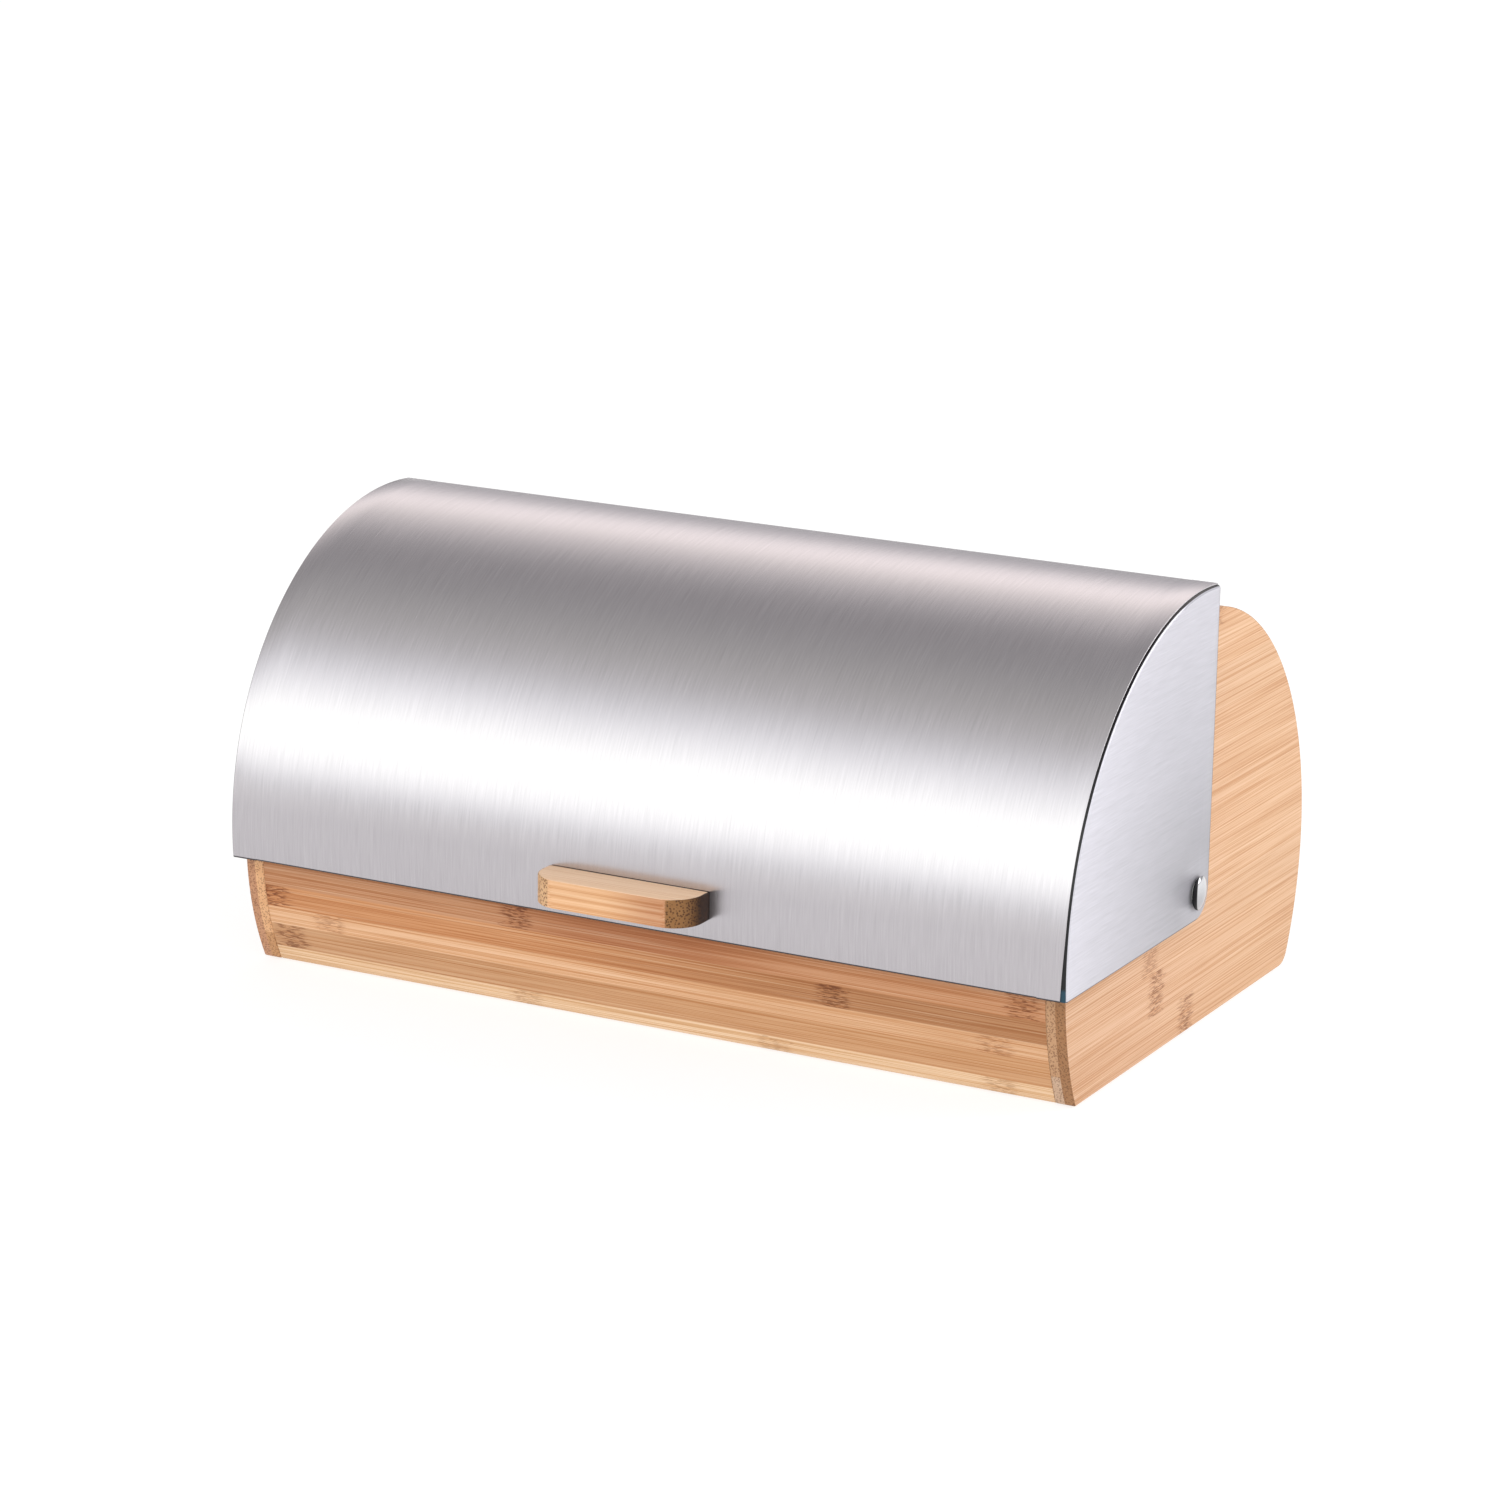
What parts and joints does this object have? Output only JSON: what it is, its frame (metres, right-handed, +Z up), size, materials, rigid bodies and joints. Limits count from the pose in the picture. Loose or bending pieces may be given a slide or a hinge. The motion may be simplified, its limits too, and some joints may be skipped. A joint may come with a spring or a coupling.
{
  "type": "bread box with roll top",
  "caption": "Bamboo bread box whose curved brushed steel lid, with a bamboo handle, swings back on side pivots over a fixed steel shell.",
  "frame": {"origin": "bottom centre of the whole object's box, on the surface it stands on, lid closed", "axes": "+X along the width, -Y towards the front where the handle is, +Z up"},
  "size_m": [0.396, 0.2712, 0.1903],
  "materials": {
    "bamboo_side": "satin clear lacquer",
    "bamboo_front": "satin clear lacquer, light and dark strips",
    "bamboo_handle": "satin clear lacquer",
    "dowel_wood": "raw",
    "brushed_steel": "brushed along the curve",
    "cheek_steel": "brushed front to back",
    "screw_steel": "zinc plated",
    "pin_chrome": "polished",
    "insert_brass": "turned",
    "nylon": "moulded",
    "foot_rubber": "matte",
    "bumper_rubber": "soft, translucent"
  },
  "bodies": {
    "box": {"side_board_left": "bamboo_side", "side_board_right": "bamboo_side", "front_board": "bamboo_front", "back_board": "bamboo_front", "base_board": "bamboo_side", "board_dowels": "dowel_wood", "back_shell": "brushed_steel", "shell_screws": "screw_steel", "rubber_feet": "foot_rubber", "lid_bumpers": "bumper_rubber", "pivot_insert_left": "insert_brass", "pivot_insert_right": "insert_brass", "pivot_pin_left": "pin_chrome", "pivot_pin_right": "pin_chrome", "pivot_spacer_left": "nylon", "pivot_spacer_right": "nylon"},
    "lid": {"lid_sheet": "brushed_steel", "lid_cheek_left": "cheek_steel", "lid_cheek_right": "cheek_steel", "pivot_bush_left": "nylon", "pivot_bush_right": "nylon", "handle": "bamboo_handle", "handle_screws": "screw_steel", "handle_washers": "screw_steel"}
  },
  "joints": [
    {"name": "lid_hinge", "type": "hinge", "parent": "box", "child": "lid", "pos_m": [0, 0.0119, 0.0618], "axis": [-1, 0, 0], "range_deg": [0, 90]}
  ]
}
